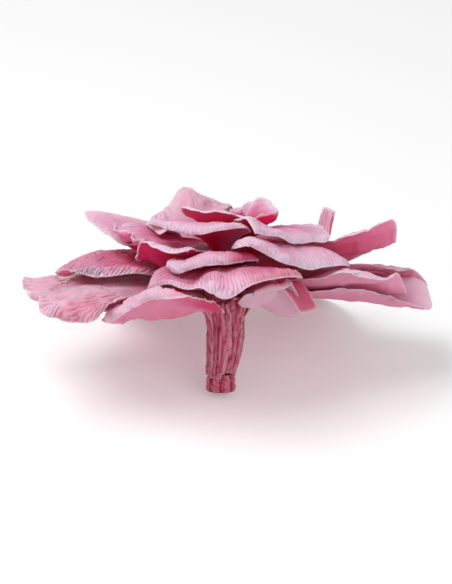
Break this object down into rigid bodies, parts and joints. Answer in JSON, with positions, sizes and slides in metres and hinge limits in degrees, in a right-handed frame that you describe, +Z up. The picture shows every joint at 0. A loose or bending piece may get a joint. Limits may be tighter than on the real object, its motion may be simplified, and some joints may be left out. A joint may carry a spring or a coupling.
{
  "type": "preserved gardenia flower head",
  "caption": "Pink-dyed preserved gardenia head with ruffled layered petals on a short ribbed tube wrapped in calyx straps, resting leaned back on its petals and cut end.",
  "frame": {"origin": "bottom centre of the flower's box, on the surface that it rests on", "axes": "+Z up; the bloom leans back towards +Y and shows its best side towards -Y; +X to the right of that side, along the bloom's widest reach"},
  "size_m": [0.0946, 0.0692, 0.0471],
  "materials": {
    "petal_pink": "matte",
    "tube_wine": "matte",
    "sepal_rose": "matte"
  },
  "bodies": {
    "root": {"calyx_cup": "sepal_rose", "corolla_tube": "tube_wine", "sepal_1": "sepal_rose", "sepal_2": "sepal_rose", "sepal_3": "sepal_rose", "sepal_4": "sepal_rose", "sepal_5": "sepal_rose", "sepal_6": "sepal_rose", "sepal_7": "sepal_rose", "petal_rest_right": "petal_pink", "petal_rest_left": "petal_pink", "petal_low_right": "petal_pink", "petal_bowl_left": "petal_pink", "petal_bowl_right": "petal_pink", "petal_tongue_left": "petal_pink", "petal_wing_left": "petal_pink", "petal_wing_right": "petal_pink", "petal_fold_right": "petal_pink", "petal_rear": "petal_pink", "petal_rear_right": "petal_pink", "petal_rear_left": "petal_pink", "petal_far_right": "petal_pink", "petal_ribbed_left": "petal_pink", "petal_apron": "petal_pink", "petal_leaf_left": "petal_pink", "petal_lip_left": "petal_pink", "petal_cup_left": "petal_pink", "petal_lip_right": "petal_pink", "petal_pennant_right": "petal_pink", "petal_rear_high": "petal_pink", "petal_rear_curl": "petal_pink", "petal_crinkle_left": "petal_pink", "petal_band_left": "petal_pink", "petal_spike_right": "petal_pink", "petal_band_right": "petal_pink", "petal_heart_rear": "petal_pink", "petal_shoulder_left": "petal_pink", "petal_sail": "petal_pink", "petal_fold_top": "petal_pink", "petal_heart_right": "petal_pink", "petal_heart_front": "petal_pink"}
  },
  "joints": []
}
